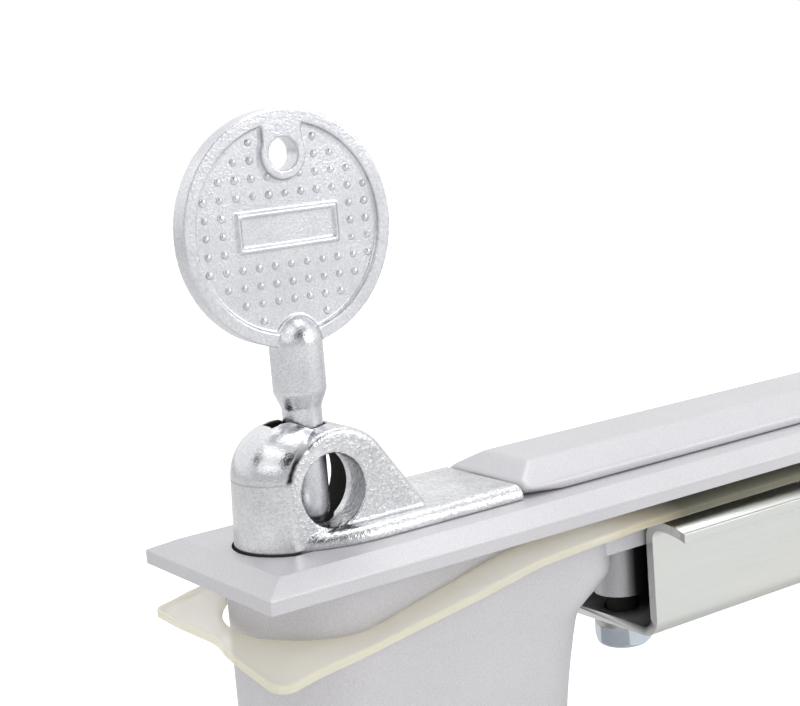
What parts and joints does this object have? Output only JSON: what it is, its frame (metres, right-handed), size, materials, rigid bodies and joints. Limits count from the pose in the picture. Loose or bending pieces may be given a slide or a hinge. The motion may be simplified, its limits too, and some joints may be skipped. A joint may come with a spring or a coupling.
{
  "type": "flat cabinet lock with swing handle",
  "caption": "Long flush plate lock with a padlock eye, a bit key, a lift and swing handle, a rod cam and a clamp bracket for sheet cabinet doors.",
  "frame": {"origin": "middle of the plate's rectangular outline, in the plane where the gasket's flat part meets the cabinet panel", "axes": "+Z out of the cabinet, +X along the plate from the padlock eye towards the handle's hinge, +Y across the plate, away from the camera in the picture"},
  "size_m": [0.157, 0.036, 0.0897],
  "materials": {
    "silver_paint": "satin silver paint on a zinc casting",
    "head_chrome": "bright chrome plate with a slight orange peel",
    "key_nickel": "satin nickel plate",
    "bracket_zinc": "pale yellow passivated zinc",
    "plated_screws": "blue passivated zinc",
    "plain_steel": "plain stamped steel",
    "cast_zinc": "tumbled zinc casting",
    "bush_brass": "turned brass",
    "black_rubber": "matt rubber",
    "clear_silicone": "milky translucent silicone"
  },
  "bodies": {
    "base": {"housing": "silver_paint", "lock_head": "head_chrome", "head_screws": "plated_screws", "head_washers": "plated_screws", "guide_plate": "plain_steel", "guide_screws": "plated_screws", "box_cover": "silver_paint", "cover_screws": "plated_screws", "clamp_bracket": "bracket_zinc", "bracket_bolts": "plated_screws", "bolt_washers": "plain_steel", "gasket": "clear_silicone", "spindle_bush": "bush_brass", "thrust_washer": "plain_steel"},
    "rotor": {"key_rotor": "cast_zinc"},
    "key": {"key": "key_nickel"},
    "bolt": {"locking_bolt": "plain_steel"},
    "spindle": {"spindle": "cast_zinc", "hinge_pin": "plain_steel", "o_ring": "black_rubber", "circlip": "plain_steel", "rod_cam": "bracket_zinc", "lock_washer": "plain_steel", "cam_screw": "plated_screws"},
    "handle": {"handle": "silver_paint"}
  },
  "joints": [
    {"name": "key_turn", "type": "hinge", "parent": "base", "child": "rotor", "pos_m": [-0.0634, 0, 0], "axis": [0, 0, -1], "range_deg": [0, 360]},
    {"name": "bolt_throw", "type": "slide", "parent": "base", "child": "bolt", "axis": [1, 0, 0], "range_m": [0, 0.0032]},
    {"name": "key_insert", "type": "slide", "parent": "rotor", "child": "key", "axis": [0, 0, 1], "range_m": [0, 0.033]},
    {"name": "handle_swing", "type": "hinge", "parent": "base", "child": "spindle", "pos_m": [0.0525, 0, 0], "axis": [0, 0, 1], "range_deg": [0, 90]},
    {"name": "handle_lift", "type": "hinge", "parent": "spindle", "child": "handle", "pos_m": [0.0575, 0, 0.006], "axis": [0, 1, 0], "range_deg": [0, 35]}
  ],
  "couplings": [
    {"joint": "bolt_throw", "follows": "key_turn", "m_per_rad": 0.0005092}
  ]
}
